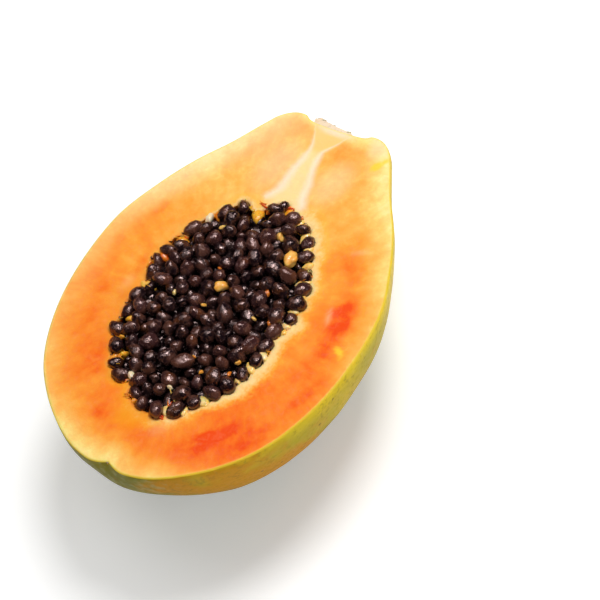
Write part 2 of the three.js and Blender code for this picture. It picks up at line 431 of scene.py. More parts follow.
def openEdges(piece):  # select the open loop, ready to extrude
    shape = bmesh.from_edit_mesh(piece.data)
    bpy.ops.mesh.select_all(action="DESELECT")
    bpy.ops.mesh.select_mode(type="EDGE")
    for edge in shape.edges:
        edge.select_set(edge.is_boundary)
    bmesh.update_edit_mesh(piece.data)


def polar(co):
    return turnReach(co.x / mm, co.y / mm)


def onFace(turn, reach, rim):
    x, y = placeAt(turn, reach)
    relief = sum(height * noise.noise(Vector((x, y, part)) / size) for height, size, part in fruit["waves"])
    lip = fruit["lipDrop"] * exp(-max(0.0, reach - rim) / fruit["lipWidth"])
    return Vector((x, y, relief - lip)) * mm


def makeBody():
    bpy.ops.mesh.primitive_circle_add(vertices=len(profile), radius=1)
    body = bpy.context.object
    bpy.ops.object.mode_set(mode="EDIT")
    shape = bmesh.from_edit_mesh(body.data)
    shape.verts.ensure_lookup_table()
    for vertex, (x, y) in zip(shape.verts, profile):
        vertex.co = (x * mm, y * mm, 0)
    bpy.ops.mesh.select_mode(type="EDGE")
    bpy.ops.mesh.select_all(action="DESELECT")
    for edge in shape.edges:  # open the ring between the two ends of the profile
        edge.select_set({v.index for v in edge.verts} == {0, len(profile) - 1})
    bpy.ops.mesh.delete(type="EDGE")
    bpy.ops.mesh.select_all(action="SELECT")
    bpy.ops.mesh.spin(steps=fruit["stepsAround"], angle=-pi, center=(0, 0, 0), axis=(1, 0, 0))
    bpy.ops.mesh.select_all(action="SELECT")
    bpy.ops.mesh.remove_doubles(threshold=0.01 * mm)
    shape = bmesh.from_edit_mesh(body.data)
    if sum(v.co.z for v in shape.verts) > 0:  # the back is below the cut
        for vertex in shape.verts:
            vertex.co.z = -vertex.co.z
    for vertex in shape.verts:
        x, y, z = vertex.co / mm
        lobe = lobeShare(x, atan2(z, y)) if z < -1e-6 else 1.0
        dent = 0.5 - 0.5 * noise.noise(Vector((x, y, z)) / fruit["dentSize"])
        lobe -= fruit["dent"] / fruit["halfWidth"] * dent * min(1.0, -z / fruit["dentFrom"])
        vertex.co = Vector((x, y * lobe, z * lobe * fruit["backDepth"] / fruit["halfWidth"])) * mm
    # cut face: rings from the skin in to the rim
    openEdges(body)
    edge = [polar(v.co) for v in bmesh.from_edit_mesh(body.data).verts if v.select]
    outer = {round(turn, 5): reach for turn, reach in edge}
    turns = np.array(sorted(outer))
    reaches = np.array([outer[t] for t in turns]) - fruit["edgeRound"]
    moveSelected(body, lambda co: co - Vector((0, 0, fruit["edgeRound"] * mm)))
    for i in range(fruit["faceRings"] + 1):
        t = i / fruit["faceRings"]
        share = fruit["evenRings"] * t + (1 - fruit["evenRings"]) * (1 - cos(pi * t)) / 2
        bpy.ops.mesh.extrude_region_move()

        def toRing(co):
            turn = polar(co)[0]
            rim, edge = rimReach(turn), float(np.interp(turn, turns, reaches))
            return onFace(turn, edge + (rim - edge) * share, rim)

        moveSelected(body, toRing)
    for depth in fruit["wallDepths"]:
        bpy.ops.mesh.extrude_region_move()

        def toWall(co):
            turn = polar(co)[0]
            reach = min(rimReach(turn), bowlReach(turn, depth))
            return Vector((*placeAt(turn, reach), -depth)) * mm

        moveSelected(body, toWall)
    bpy.ops.mesh.extrude_region_move()
    moveSelected(body, lambda co: Vector((centreX, centreY, -hollow["depth"])) * mm)
    bpy.ops.mesh.remove_doubles(threshold=0.005 * mm)
    bpy.ops.mesh.select_all(action="SELECT")
    bpy.ops.mesh.normals_make_consistent(inside=False)
    bpy.ops.object.mode_set(mode="OBJECT")
    bpy.ops.object.shade_smooth_by_angle(angle=radians(50))
    return body


def segmentDistance(points, line):  # nearest distance in plan to a chain of segments
    nearest = np.full(len(points), 1e9)
    for a, b in zip(line[:-1], line[1:]):
        along = b - a
        share = np.clip(((points - a) @ along) / max(along @ along, 1e-12), 0, 1)
        nearest = np.minimum(nearest, np.hypot(*(points - a - share[:, None] * along).T))
    return nearest


# directions are in degrees round the hollow from the stem, places and widths in millimetres
marks = {
    # direction, ripeness half way in, ripeness under the skin, how wide the change between them is
    "ripeness": [
        (0, 0.4, 0.16, 5), (14, 0.42, 0.12, 6), (30, 0.46, 0.02, 19), (45, 0.5, 0.08, 16),
        (60, 0.6, 0.24, 13), (80, 0.64, 0.3, 11), (105, 0.68, 0.44, 10), (125, 0.7, 0.48, 11),
        (150, 0.75, 0.27, 15), (165, 0.74, 0.06, 19), (180, 0.7, 0.08, 20), (195, 0.77, 0.24, 13),
        (210, 0.82, 0.66, 6), (225, 0.83, 0.84, 4), (240, 0.74, 0.72, 5), (255, 0.76, 0.66, 5),
        (270, 0.72, 0.36, 9), (285, 0.7, 0.3, 12), (300, 0.68, 0.18, 15), (315, 0.65, 0.07, 18),
        (338, 0.48, 0.03, 18), (350, 0.46, 0.1, 10),
    ],
    # the cream ring round the hollow: direction, width, strength
    "ring": [
        (0, 4.5, 0.9), (25, 3.5, 0.6), (50, 1.8, 0.15), (150, 2.0, 0.1), (170, 5.5, 0.3), (178, 8, 0.45),
        (195, 6, 0.5), (205, 4.2, 0.55), (225, 4.8, 1.0), (235, 5.4, 1.0), (270, 5, 1.0), (280, 4.6, 0.9),
        (287, 3.2, 0.5), (295, 3.8, 0.75), (302, 3.6, 0.75), (312, 4.4, 0.9), (330, 5, 0.85), (343, 8.5, 0.8),
        (350, 6, 0.85),
    ],
    # riper, redder places: x, y, half length, half width, lean, strength
    "ripe": [
        (4.8, -49.6, 10.5, 4.6, 14, 1.0), (28, -43, 8, 4, 40, 0.35), (38, -35, 6, 3, -40, 0.15),
        (-62.8, -28.2, 6, 2.4, -45, 0.75), (-57, -35.5, 5, 3, -30, 0.7), (-67, -28, 11, 5, -45, 0.42),
        (-31, -54, 9, 2.6, -20, 0.5), (-56, -45, 12, 4, -30, 0.45), (22.8, 47.8, 5, 2.4, -20, 0.45),
        (77, -11, 7, 6, 0, 0.3), (84, 12, 5, 8, 0, 0.25), (-10, -50, 9, 2.6, 12, 0.45),
        (-71, 15, 4, 4.5, 10, 0.45), (-50, 31, 9, 4, 30, 0.5), (-30, 45, 12, 4, 10, 0.25),
        (-74, -2, 7, 9, 0, 0.35), (-46, 38, 6, 4, 30, 0.25), (-5, 39, 7, 3, 10, 0.5), (2, 55, 5, 3, 0, 0.3),
        (-15, -50, 8, 3, 10, 0.3),
    ],
    # paler, milky flesh under the skin: direction, how much
    "milky": [
        (0, 0.14), (15, 0.36), (45, 0.38), (60, 0.28), (75, 0.2), (90, 0.2), (120, 0.14), (150, 0.1),
        (200, 0.1), (225, 0), (290, 0), (300, 0.05), (345, 0.14),
    ],
    # and in patches, as above
    "milkySpots": [
        (72, 24, 20, 10, -20, 0.3), (63, 14, 18, 11, 0, 0.36), (62, -13, 15, 9, -10, 0.33),
        (-14, 39.5, 4.5, 3, 0, 0.2), (-66.5, -10.5, 7, 3.6, -35, 0.2), (36, -41, 5, 1.8, -60, 0.25),
        (4, -44.4, 5, 1.6, 15, 0.32), (72, 12, 12, 4, -20, 0.2), (87.2, 0.5, 3.2, 10.5, -5, 0.8),
        (87, -22, 9, 6, 0, 0.45),
    ],
    # small yellow bruises, as above
    "yellow": [
        (-8.5, -56, 3.0, 1.6, 60, 0.9), (-11, -57.5, 1.6, 1.2, 0, 0.6), (76.9, -25.5, 3.2, 2.0, -30, 1.0),
        (81.0, -27.9, 4, 1.3, -35, 0.8),
    ],
    # deep golden flesh at the blossom end of the hollow, as above, and close to the rim by direction
    "golden": [(-68, 4, 6, 8, 0, 0.8), (-61, 11, 4, 4, 0, 0.5)],
    "goldenRing": [(100, 0.25), (150, 0.35), (168, 0.7), (175, 1), (184, 1), (190, 0.2), (200, 0)],
    "goldenReach": (5.5, 1.5),
    # red juice along the rim, by direction
    "stain": [
        (0, 0.7), (20, 0.5), (60, 0.6), (90, 0.8), (150, 0.7), (200, 1), (222, 0.4), (235, 0), (335, 0),
    ],
    "stainReach": (1.3, 0.1),
    # how dark the line of skin round the cut looks, by direction
    "skinLine": [(20, 0), (160, 0.1), (200, 0.6), (225, 1), (300, 1), (335, 0.3)],
    # pale strands from the stem scar down to the hollow, and half their width along x
    "strands": [
        [(88.6, 10.2), (80.5, 6.6), (74.6, 5.0), (68, 5.2), (63.5, 6.2), (55, 6.2), (50, 6.6), (46, 9.2)],
        [(88, -8), (80, -4.2), (75, -0.5), (70, -0.6), (65, -1.8), (60, -3.3), (50.4, -5.4), (46.5, -7)],
    ],
    "strandHalf": [(88, 1.0), (74, 1.2), (62, 1.5), (50, 1.9), (44, 2.2)],
    "strandEnds": (46, 71),  # beyond these they fade, fast into the hollow and slowly towards the scar
    "strandFade": (0.6, 0.09),
    "streaks": (60, 0.35),  # fine streaks from hollow to skin: how close together, how soon they change
}


def byDirection(turns, table, column=1):
    table = np.array(table)
    return np.interp(np.degrees(turns), table[:, 0], table[:, column], period=360)


def smooth(low, high, value):
    share = np.clip((value - low) / (high - low), 0, 1)
    return share * share * (3 - 2 * share)


def spots(plan, table):  # soft oval patches
    total = np.zeros(len(plan))
    for x, y, along, across, lean, strength in table:
        c, s = cos(radians(lean)), sin(radians(lean))
        dx, dy = plan[:, 0] - x, plan[:, 1] - y
        away = ((dx * c + dy * s) / along) ** 2 + ((-dx * s + dy * c) / across) ** 2
        total = np.maximum(total, strength * np.exp(-(away**1.5)))
    return total


def paintBody(body):
    plan = meshPoints(body)[:, :2]
    turns = np.arctan2(plan[:, 1] - centreY, plan[:, 0] - centreX)
    fromSkin = segmentDistance(plan, np.vstack([cutOutline, cutOutline[:1]]))
    fromRim = segmentDistance(plan, rimOutline)
    within = np.hypot(plan[:, 0] - centreX, plan[:, 1] - centreY) < np.interp(turns, rimTurns, rimReaches)
    fromRim[within] = 0
    paint(body, "fromSkin", fromSkin)
    paint(body, "depth", -meshPoints(body)[:, 2])
    middle, under, change = (byDirection(turns, marks["ripeness"], column) for column in (1, 2, 3))
    paint(body, "ripeness", under + (middle - under) * smooth(-0.35, 1, fromSkin / change))
    paint(body, "ring", fromRim / byDirection(turns, marks["ring"]))
    paint(body, "ringStrength", byDirection(turns, marks["ring"], 2))
    paint(body, "skinLine", byDirection(turns, marks["skinLine"]))
    paint(body, "ripe", spots(plan, marks["ripe"]))
    paint(body, "yellow", spots(plan, marks["yellow"]))
    golden = byDirection(turns, marks["goldenRing"]) * smooth(*marks["goldenReach"], fromRim)
    paint(body, "golden", np.maximum(golden, spots(plan, marks["golden"])))
    paint(body, "stain", byDirection(turns, marks["stain"]) * smooth(*marks["stainReach"], fromRim))
    outward = fromRim / np.maximum(fromRim + fromSkin, 0.1)
    milky = byDirection(turns, marks["milky"]) * smooth(0.35, 0.9, outward)
    paint(body, "milky", np.maximum(milky, spots(plan, marks["milkySpots"])))
    half = np.array(sorted(marks["strandHalf"]))
    for name, line in zip(("strandA", "strandB"), marks["strands"]):
        line = np.array(sorted(line))
        off = plan[:, 1] - np.interp(plan[:, 0], line[:, 0], line[:, 1])
        paint(body, name, off / np.interp(plan[:, 0], half[:, 0], half[:, 1]))
    (inner, outer), (fast, slow) = marks["strandEnds"], marks["strandFade"]
    fade = np.clip(inner - plan[:, 0], 0, None) * fast + np.clip(plan[:, 0] - outer, 0, None) * slow
    paint(body, "strandFade", fade)
    blush = np.zeros(len(plan))
    for x, y, z, reach in skinMarks["blush"]:
        blush = np.maximum(blush, np.exp(-(((meshPoints(body) - (x, y, z)) / reach) ** 2).sum(1)))
    paint(body, "blush", blush)
    count, drift = marks["streaks"]
    streak = body.data.attributes.new("streak", "FLOAT_VECTOR", "POINT")
    values = np.stack([np.cos(turns) * count, np.sin(turns) * count, fromRim * drift], 1)
    streak.data.foreach_set("vector", values.astype(np.float32).ravel())


def makeFlesh():
    # ripe papaya flesh, knife cut: moist, soft gloss, light goes a few millimetres in
    painted = (
        "ripeness", "fromSkin", "depth", "skinLine", "ring", "ringStrength", "ripe", "milky", "yellow",
        "golden", "stain", "strandA", "strandB", "strandFade",
    )
    # cloudy patches 14 mm across, mottling of 5 mm, ragged flecks of 3 mm, 1 mm grain
    patterns = (("cloud", 14, 3, 0), ("mottle", 5, 4, 0), ("fleck", 3, 3, 1.2), ("grain", 1.1, 3, 0))
    made, tree, shader, value = newMaterial("papayaFleshCut", painted, patterns)
    along = addNode(tree, "SeparateXYZ", links={"Vector": value["place"]}).outputs["X"]
    streaks = addNode(tree, "Attribute", {"attribute_name": "streak"}).outputs["Vector"]
    value["streak"] = addNode(tree, "TexNoise", links={"Vector": streaks, "Scale": 0.28, "Detail": 4.0})

    # how ripe it is, from pale to red, broken up by the patches
    amount, mottle = value["ripeness"], value["mottle"]
    for name, strength in (("cloud", 0.34), ("mottle", 0.28), ("streak", 0.22), ("fleck", 0.2)):
        centred = addNode(tree, "Math", subtract, {0: value[name], 1: 0.5})
        amount = addNode(tree, "Math", multiplyAdd, {0: centred, 1: strength, 2: amount})
    patchy = addNode(tree, "Math", add, {0: mottle, 1: 0.35})
    broken = addNode(tree, "Math", multiply, {0: value["ripe"], 1: patchy})
    amount = addNode(tree, "Math", multiplyAdd, {0: broken, 1: 0.42, 2: amount})
    stops = [
        (0.02, "#fdf0ae"), (0.18, "#fde088"), (0.32, "#fdca6a"), (0.46, "#fdb350"),
        (0.6, "#fda036"), (0.75, "#fb8824"), (0.88, "#f87012"), (1.0, "#f24c00"),
    ]
    ripening = addNode(tree, "ValToRGB", {"stops": stops}, {"Fac": amount})
    # the ring is grainy, and the strands wander
    ragged = addNode(tree, "Math", multiplyAdd, {0: mottle, 1: 1.2, 2: value["ring"]})
    grainy = addNode(tree, "Math", multiplyAdd, {0: value["grain"], 1: 0.7, 2: ragged})
    value["ring"] = addNode(tree, "Math", subtract, {0: grainy, 1: value["ringStrength"]})
    for name in ("strandA", "strandB"):
        wavy = addNode(tree, "Math", multiplyAdd, {0: mottle, 1: 1.2, 2: value[name]})
        value[name] = addNode(tree, "Math", subtract, {0: wavy, 1: 0.6})
        away = addNode(tree, "Math", {"operation": "ABSOLUTE"}, {0: value[name]})
        value[name + "Away"] = addNode(tree, "Math", add, {0: away, 1: value["strandFade"]})
    # the core lies between the strands; its top, next to the scar, is darker
    inside = 1.0
    for name, source, low, high in (
        ("besideA", value["strandA"], 0.5, -0.5),
        ("besideB", value["strandB"], -0.5, 0.5),
        ("core", along, 38 * mm, 48 * mm),
        ("coreTop", along, 71 * mm, 77 * mm),
    ):
        side = addNode(tree, "MapRange", easeInOut, {"Value": source, "From Min": low, "From Max": high})
        inside = value[name] = addNode(tree, "Math", multiply, {0: inside, 1: side})
    lineAt = addNode(tree, "Math", multiplyAdd, {0: value["skinLine"], 1: -0.7, 2: value["fromSkin"]})
    value["darkLine"] = addNode(tree, "Math", add, {0: lineAt, 1: 0.7})
    colour = layColours(tree, ripening, value, [
        ("ring", 1.65, 0.55, 0.8, "#fdb83c"),
        ("ring", 1.1, 0.2, 0.9, "#fdda98"),
        ("core", 0.0, 1.0, 0.8, "#fde0a2"),
        ("coreTop", 0.0, 1.0, 0.8, "#fdca70"),
        ("strandAAway", 2.1, -0.3, 0.9, "#fee4c8"),
        ("strandBAway", 2.1, -0.3, 0.9, "#fee4c8"),
        ("milky", 0.0, 1.0, 1.0, "#ffe4c4"),
        ("fleck", 0.47, 0.75, 0.09, "#ffcc94"),
        ("golden", 0.0, 1.0, 0.8, "#f89806"),
        ("yellow", 0.1, 0.9, 0.8, "#fed432"),
        ("stain", 0.0, 1.0, 0.75, "#c04812"),
        ("fromSkin", 1.6, 0.2, 0.6, "#f8e07c"),
        ("darkLine", 1.3, 0.5, 0.9, "#e0c028"),
        ("depth", 0.3, 0.9, 0.8, "#fba82c"),  # inside the hollow
        ("depth", 0.9, 2.2, 0.9, "#d85a14"),
        # painted shade: deeper down the hollow wall the flesh turns near black
        ("depth", 2.0, 4.5, 0.95, "#5a1606"),
    ])
    height = addNode(tree, "Math", multiplyAdd, {0: mottle, 1: 1.5, 2: value["grain"]})
    wet = {"Value": value["grain"], "From Min": 0.3, "From Max": 0.7, "To Min": 0.36, "To Max": 0.55}
    shader.subsurface_method = "RANDOM_WALK"
    setShader(shader, {
        "Base Color": colour,
        "Normal": addNode(
            tree, "Bump", links={"Height": height, "Strength": 0.35, "Distance": 0.35 * mm}
        ),
        "Roughness": addNode(tree, "MapRange", links=wet),
        "IOR": 1.38,
        "Subsurface Weight": 0.3,
        "Subsurface Radius": (1.0, 0.42, 0.14),
        "Subsurface Scale": 2.0 * mm,
        "Specular IOR Level": 0.18,
    })
    return made


skinMarks = {
    # warm blush patches: x, y, z, reach
    "blush": [
        (-70, -41, -14, 20), (-82, -27, -8, 14), (-50, -50, -30, 18), (-14, -52, -44, 20), (30, 40, -40, 24),
    ],
    # where skin takes over from flesh
    "turnedDown": 0.35,  # a face whose normal rises less than this
    "below": 0.02,
    "surelyBelow": 1.0,
    "pastRim": 0.5,
}


def makeSkin():
    # ripening papaya skin: thin and waxy, yellow over green, with small brown specks
    # blotches of 34 mm, clouds of 9 mm, grainy scuffs of 5 mm, fine mottling of 1.6 mm
    patterns = (("blotch", 34, 3, 0), ("cloud", 9, 5, 0), ("scuff", 5, 6, 0.6), ("fine", 1.6, 4, 0))
    made, tree, shader, value = newMaterial("papayaSkinWaxy", ("depth", "blush"), patterns)
    place = value["place"]
    along = addNode(tree, "SeparateXYZ", links={"Vector": place}).outputs["X"]
    cloud, fine = value["cloud"], value["fine"]
    # depth below the cut, broken by the clouds: drives the skin's greener underside and its painted shade
    value["deep"] = addNode(tree, "Math", multiplyAdd, {0: cloud, 1: 14.0, 2: value["depth"]})
    value["along"] = addNode(tree, "Math", multiplyAdd, {0: cloud, 1: 16 * mm, 2: along})
    # pale streaks at the blossom end, 14 mm long and 4 mm wide: partly the skin's own streaks, partly a
    # painted reflection of bright surroundings along that edge
    longer = {"Vector": place, "Scale": (1 / (14 * mm), 1 / (4 * mm), 1 / (4 * mm))}
    stretched = addNode(tree, "Mapping", links=longer)
    streak = addNode(tree, "TexNoise", links={"Vector": stretched, "Scale": 1.0, "Detail": 4.0})
    fromEnd = {"Value": along, "From Min": -70 * mm, "From Max": -87 * mm}
    atEnd = addNode(tree, "MapRange", easeInOut, fromEnd)
    value["pale"] = addNode(tree, "Math", multiply, {0: streak, 1: atEnd})
    # specks on a 7 mm net, none where the clouds are thin
    speck = addNode(tree, "TexVoronoi", links={"Vector": place, "Scale": 1 / (7 * mm)})
    thin = {"Value": cloud, "From Min": 0.58, "From Max": 0.48, "To Max": 0.3}
    hidden = addNode(tree, "MapRange", easeInOut, thin)
    value["speck"] = addNode(tree, "Math", add, {0: speck.outputs["Distance"], 1: hidden})
    halfFine = addNode(tree, "Math", multiply, {0: fine, 1: 0.75})
    value["dirt"] = addNode(tree, "Math", multiplyAdd, {0: value["scuff"], 1: 0.5, 2: halfFine})
    # the blush has a cloudy, ragged border
    clouded = addNode(tree, "Math", multiplyAdd, {0: cloud, 1: 1.5, 2: value["blush"]})
    value["blush"] = addNode(tree, "Math", multiplyAdd, {0: value["blotch"], 1: 1.2, 2: clouded})
    colour = layColours(tree, hexColour("#dab812"), value, [
        ("blotch", 0.42, 0.64, 0.75, "#aea012"),
        ("cloud", 0.42, 0.68, 0.5, "#c8b02a"),
        # greener and darker towards the underside: partly the skin's own green, partly painted shade under
        # the fruit
        ("deep", 22, 48, 0.88, "#5a6812"),
        # yellower and lighter just below the cut: partly the skin's own colour, partly painted light on the
        # upper edge
        ("deep", 16, 6, 0.7, "#ecd030"),
        ("along", -4 * mm, 66 * mm, 0.6, "#eace6a"),
        ("along", -62 * mm, -84 * mm, 0.84, "#666c18"),
        ("blush", 1.5, 2.2, 0.88, "#d08c04"),
        # pale streaks at the blossom end: partly the skin's own, partly a painted reflection
        ("pale", 0.44, 0.7, 0.45, "#b8b47c"),
        ("fine", 0.58, 0.72, 0.2, "#d0b840"),
        ("dirt", 0.62, 0.86, 0.45, "#8c6a24"),
        ("speck", 0.14, 0.06, 0.7, "#6e4c22"),
    ])
    height = addNode(tree, "Math", multiplyAdd, {0: cloud, 1: 3.0, 2: fine})
    wax = {"Value": fine, "From Min": 0.3, "From Max": 0.7, "To Min": 0.38, "To Max": 0.55}
    setShader(shader, {
        "Base Color": colour,
        "Normal": addNode(
            tree, "Bump", links={"Height": height, "Strength": 0.25, "Distance": 0.3 * mm}
        ),
        "Roughness": addNode(tree, "MapRange", links=wax),
        "IOR": 1.45,
        "Specular IOR Level": 0.12,
        "Subsurface Weight": 0.08,
        "Subsurface Radius": (1.0, 0.7, 0.25),
        "Subsurface Scale": 1.5 * mm,
    })
    return made


def coatBody(body):  # flesh on the cut and in the hollow, skin on the back and in the dip of the stem
    body.data.materials.append(makeFlesh())
    body.data.materials.append(makeSkin())
    for face in body.data.polygons:
        z = face.center.z / mm
        turn, reach = polar(face.center)
        turnedDown = face.normal.z < skinMarks["turnedDown"] and z < -skinMarks["below"]
        under = turnedDown or z < -skinMarks["surelyBelow"]
        outside = reach > rimReach(turn) + skinMarks["pastRim"]
        underHollow = z < -hollow["depth"] - skinMarks["pastRim"]
        face.material_index = 1 if outside and under or underHollow else 0


body = makeBody()
paintBody(body)
coatBody(body)
finishPiece(body, "papaya_half_body", "flesh", "papaya_half")

# soft bits at the rim: the threads that held the seeds, and torn pulp
bitsLook = {
    # flesh reaching in between the seeds: x, y, length, width, lean, ripeness (0 cream, 0.5 yellow, 1 red)
    "tongues": [
        (-12.3, 31.2, 8, 4.6, -88, 0.35), (-28.4, 27.8, 6.5, 3.2, -60, 0.4), (12.5, 30.2, 5.5, 4, -70, 0.6),
        (36.6, 8, 9.5, 5.2, 20, 0.5), (-49.4, -19.4, 7, 4.2, 55, 0.15), (-9.5, -31.2, 4.6, 3.4, 80, 0.2),
        (0.4, -30.8, 4.4, 3, 80, 0.75), (-44, 22, 4, 2.4, -35, 0.5), (-58.5, 6, 5, 3, 5, 0.4),
        (28, 18.5, 4.4, 2.4, 40, 0.6), (-36, -26.5, 4, 2.6, 60, 0.15), (-22, -30, 3.6, 2.8, 75, 0.2),
    ],
    "tongueLevel": -1.3,
    "tongueHeight": 3.4,
    "tongueRipeness": 0.75,
    # smaller ones between the rim seeds: how many, level, and ripeness from the drawn one
    "rimTonguesRight": (0.85, -0.7, 0.0, 1),
    "rimTonguesLeft": (0.22, -1.1, 0.45, 2),
    "rightSide": (-175, -10),
    "rimTongueSize": ((5.0, 2.4), (2.8, 1.4), 2.8),
    # torn red fibres, a tuft each: x, y, length, spread, lean, ripeness
    "tufts": [
        (41.8, 8, 4.6, 1.8, 75, 0.9), (43.2, -3, 4.6, 1.8, -80, 1), (40.6, -9.4, 4.2, 1.4, -45, 1),
        (38, 11.6, 3.6, 1.4, 45, 0.6), (33.6, -12.6, 5, 1, -50, 0.8), (-62, -7, 5, 1.6, 60, 1),
        (-56, -8.4, 5, 1.8, 35, 1), (-60.5, 9, 4, 1.4, -60, 0.8), (6, 33.8, 4.5, 1.4, 0, 0.9),
        (-3, 35, 4.5, 1.2, 10, 0.9), (17.5, 29.5, 4.5, 1.4, -25, 0.8), (-20, 32.5, 4, 1.2, 10, 0.85),
        (-46, 22, 4, 1.4, 35, 0.8), (-4, -31.6, 3.4, 1, 10, 0.7), (-54, 15, 4, 1.3, 60, 0.9),
    ],
    "tuftThreads": 7,
    "scattered": 30,
    "threads": 34,
    "threadWidth": 0.42,
    "threadRings": 7,
    "threadTaper": 0.86,
    "threadBend": (0.6, 2.2),  # to the side, and up
    "shred": 0.35,  # how torn a shred is, and a tongue
    "tongue": 0.14,
    "stalk": (-58.0, -14.7, 12.3, 1.0, 53),  # the one thick pale stalk: x, y, length, width, lean
}


def makeThread():  # tapered strand of length 1 along X, arched up
    bpy.ops.mesh.primitive_circle_add(vertices=6, radius=0.5, fill_type="NGON")
    thread = bpy.context.object
    editAll()
    bpy.ops.transform.rotate(value=pi / 2, orient_axis="Y", center_override=(0, 0, 0))
    rings = bitsLook["threadRings"]
    for i in range(rings):
        bpy.ops.mesh.extrude_region_move(TRANSFORM_OT_translate={"value": (1 / rings, 0, 0)})
        bpy.ops.transform.resize(value=(1, bitsLook["threadTaper"], bitsLook["threadTaper"]))
    bpy.ops.mesh.select_all(action="SELECT")
    sag, arch = bitsLook["threadBend"]

    def bend(co):
        return Vector((co.x, co.y + sag * sin(3 * co.x), co.z + arch * co.x * (1 - co.x)))

    moveSelected(thread, bend)
    bpy.ops.mesh.normals_make_consistent(inside=False)
    endEdit()
    return thread


# the seeds, dark and pale, and the bed they lie in
seedLook = {
    "shapes": 12,  # different seeds, each used a few times
    "plainShapes": 4,  # simpler ones for the deep layer
    "raggedShapes": 3,  # for the pale ones
    # unevenness of a seed of length 1: height and size of its lumps, then of its wrinkles
    "lump": (0.22, 0.55),
    "raggedLump": (0.5, 0.55),
    "wrinkle": (0.13, 0.2),
    "partOfNoise": (3.1, 1.7, 0.9),
    "stretch": 1.06,
    "width": (0.84, 0.16),
    "flatness": (0.88, 0.14),
    "taper": 0.22,
    # away from the rim: they tilt more, are scattered up and down, and the big ones lie on top
    "looseNod": 3.2,
    "looseSpread": 3.6,
    "looseLevel": 0.6,
    "looseSize": (0.8, 0.22, 0.14),
    "plump": 1.06,
    "sunk": 2.6,  # below a pale seed or a tongue of flesh
    "sunkReach": (0.34, 2),
    "heapTop": 5.3,  # nothing stands higher than this above the cut
    # bits of dark jelly skin at the rim
    "fringe": 44,
    "fringeInset": 0.6,
    "fringeLevel": -0.3,
    "fringeLength": (0.9, 1.0),
    "fringeWidth": (0.5, 0.5),
    "bedInset": 0.8,
    "bedTop": 5.5,
    "bedRings": (4, 6, 8),
    "bedLump": (1.2, 6),
    # the deep layer: its rows and columns either way, how far they stray, how far it keeps from the rim
    "deepRows": (8, 12),
    "deepStray": 1.2,
    "deepInset": 0.5,
    # undeveloped pale seeds on top: x, y, length, paleness (0 white, 1 orange)
    "pale": [
        (21.3, -16.9, 7.6, 0.5), (29.1, -7.5, 4.2, 0.45), (-1.8, 1.6, 6.6, 0.5), (25.7, 24.8, 5, 0),
        (-52, 12.6, 4.2, 0), (23.5, 17, 2.8, 0.4), (2.8, -17.1, 3, 0.8), (-12.9, 3, 2.4, 0.5),
        (-38.4, 26.5, 3.4, 0.6), (-12.3, 17.3, 2.4, 0.2), (-50.6, -4.9, 2.6, 0),
        (-35, -6.2, 2.2, 0.6), (-39.7, -12.5, 2, 0.6), (-29.8, -23.4, 2.6, 0.5), (-35.6, -22.8, 2.4, 0.7),
        (-10, -18.8, 2.2, 0.4), (-9.2, -25.2, 2.4, 0.8), (-20.6, 31.4, 2.4, 1), (5.1, 6.6, 1.8, 0.9),
    ],
    "paleShape": (1, 0.85, 0.75),
    "paleRise": (1.2, 0.6),  # of the small ones, of the others
    "paleSmall": 3,
    "paleRoom": 0.9,  # share of their length that the dark seeds leave free
}


def roughen(shape, name, height, size):
    texture = bpy.data.textures.new(name, "CLOUDS")
    texture.noise_scale = size
    texture.noise_depth = 1
    push = shape.modifiers.new(name, "DISPLACE")
    push.texture = texture
    push.texture_coords = "LOCAL"
    push.strength = height
    bpy.ops.object.modifier_apply(modifier=name)


def makeSeedShape(number, divisions, lump):  # one plump seed of length 1, long in X
    bpy.ops.mesh.primitive_ico_sphere_add(subdivisions=divisions, radius=0.5)
    shape = bpy.context.object
    stepX, stepY, z = seedLook["partOfNoise"]
    x, y = stepX * number, stepY * number
    editAll()
    bpy.ops.transform.translate(value=(x, y, z))
    bpy.ops.object.mode_set(mode="OBJECT")
    roughen(shape, "lump", *lump)
    roughen(shape, "wrinkle", *seedLook["wrinkle"])
    editAll()
    bpy.ops.transform.translate(value=(-x, -y, -z))
    wide = seeds["widthShare"] * vary(*seedLook["width"])
    bpy.ops.transform.resize(value=(seedLook["stretch"], wide, wide * vary(*seedLook["flatness"])))
    taper = seedLook["taper"]
    moveSelected(shape, lambda co: Vector((co.x, co.y * (1 - taper * co.x), co.z * (1 - taper * co.x))))
    endEdit()
    return shape


def copyShape(shape, at, size, turns, tone):
    copy = shape.copy()
    copy.data = shape.data.copy()
    bpy.context.collection.objects.link(copy)
    spin, nod, roll = turns
    turned = Matrix.Rotation(spin, 4, "Z") @ Matrix.Rotation(nod, 4, "Y") @ Matrix.Rotation(roll, 4, "X")
    sized = Matrix.Diagonal((size[0] * mm, size[1] * mm, size[2] * mm, 1))
    copy.data.transform(Matrix.Translation(Vector(at) * mm) @ turned @ sized)
    heights = meshPoints(copy)[:, 2]
    foot, top = heights.min(), heights.max()
    paint(copy, "crown", 2 * (heights - foot) / (top - foot) - 1)  # -1 at its foot, 1 on top
    over = top - seedLook["heapTop"]
    if over > 0:
        copy.data.transform(Matrix.Translation((0, 0, -over * mm)))
    paint(copy, "tone", [tone] * len(copy.data.vertices))
    return copy


